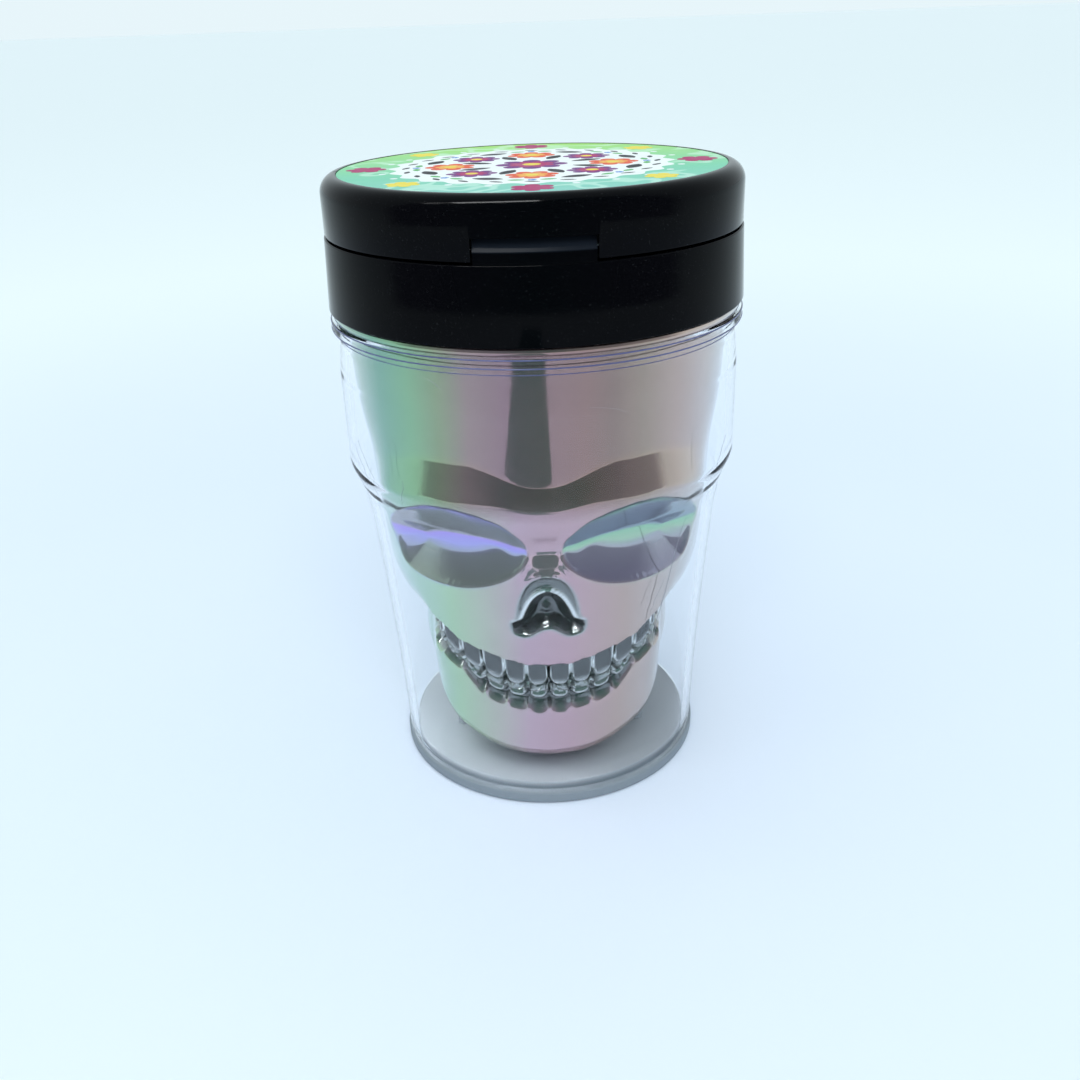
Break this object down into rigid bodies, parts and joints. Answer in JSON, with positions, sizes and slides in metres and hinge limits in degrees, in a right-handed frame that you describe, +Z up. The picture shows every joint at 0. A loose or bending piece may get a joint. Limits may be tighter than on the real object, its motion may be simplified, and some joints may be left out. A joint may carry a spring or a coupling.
{
  "type": "lidded cup-holder ashtray",
  "caption": "Lidded cup-holder ashtray: clear stepped tumbler round a skull-shaped pearl liner, with a threaded black collar, snuffer funnel and hinged lid.",
  "frame": {"origin": "centre of the flat underside of the base cap, on the tumbler's axis", "axes": "+Z up along the tumbler's axis, the skull's face and the lid's thumb notch towards -Y, the hinge towards +Y"},
  "size_m": [0.082, 0.0873, 0.1257],
  "materials": {
    "clear_plastic": "clear, glossy",
    "white_plastic": "frosted, slightly translucent",
    "pearl_chrome": "iridescent metallised mirror finish",
    "black_plastic": "glossy",
    "printed_label": "printed, satin",
    "steel": "satin",
    "contact_metal": "plain",
    "silicone": "matt",
    "lens_plastic": "clear, glossy",
    "board_green": "solder mask",
    "led_white": "satin",
    "plunger_plastic": "satin"
  },
  "bodies": {
    "cup": {"outer_cup": "clear_plastic", "base_cap": "white_plastic", "skull_liner": "pearl_chrome"},
    "seal": {"seal_ring": "silicone"},
    "collar": {"collar": "black_plastic", "snuffer_funnel": "steel", "hinge_pin": "steel"},
    "lid": {"lid_shell": "black_plastic", "lid_label": "printed_label", "lid_inner_cap": "black_plastic", "lid_gasket": "silicone", "inner_cap_screw_1": "steel", "inner_cap_screw_2": "steel", "inner_cap_screw_3": "steel", "inner_cap_screw_4": "steel", "led_lens": "lens_plastic", "led_chip": "led_white", "circuit_board": "board_green", "coin_cell": "steel", "contact_positive": "contact_metal", "contact_negative": "contact_metal", "switch_body": "black_plastic", "switch_spring": "steel"},
    "battery_door": {"battery_door": "black_plastic"},
    "switch_plunger": {"switch_plunger": "plunger_plastic"}
  },
  "joints": [
    {"name": "collar_rise", "type": "slide", "parent": "cup", "child": "seal", "axis": [0, 0, 1], "range_m": [0, 0.003]},
    {"name": "collar_turn", "type": "hinge", "parent": "seal", "child": "collar", "pos_m": [0, 0, 0.1], "axis": [0, 0, 1], "range_deg": [0, 270]},
    {"name": "lid_hinge", "type": "hinge", "parent": "collar", "child": "lid", "pos_m": [0, 0.04375, 0.1149], "axis": [-1, 0, 0], "range_deg": [0, 115]},
    {"name": "plunger_travel", "type": "slide", "parent": "lid", "child": "switch_plunger", "axis": [0, 0, -1], "range_m": [0, 0.0012], "deforming": ["switch_spring"]},
    {"name": "battery_door_twist", "type": "hinge", "parent": "lid", "child": "battery_door", "pos_m": [0, 0.017, 0.117], "axis": [0, 0, 1], "range_deg": [0, 40]}
  ],
  "couplings": [
    {"joint": "collar_rise", "follows": "collar_turn", "m_per_rad": 0.00063662},
    {"joint": "plunger_travel", "follows": "lid_hinge", "m_per_rad": 0.00059787}
  ]
}
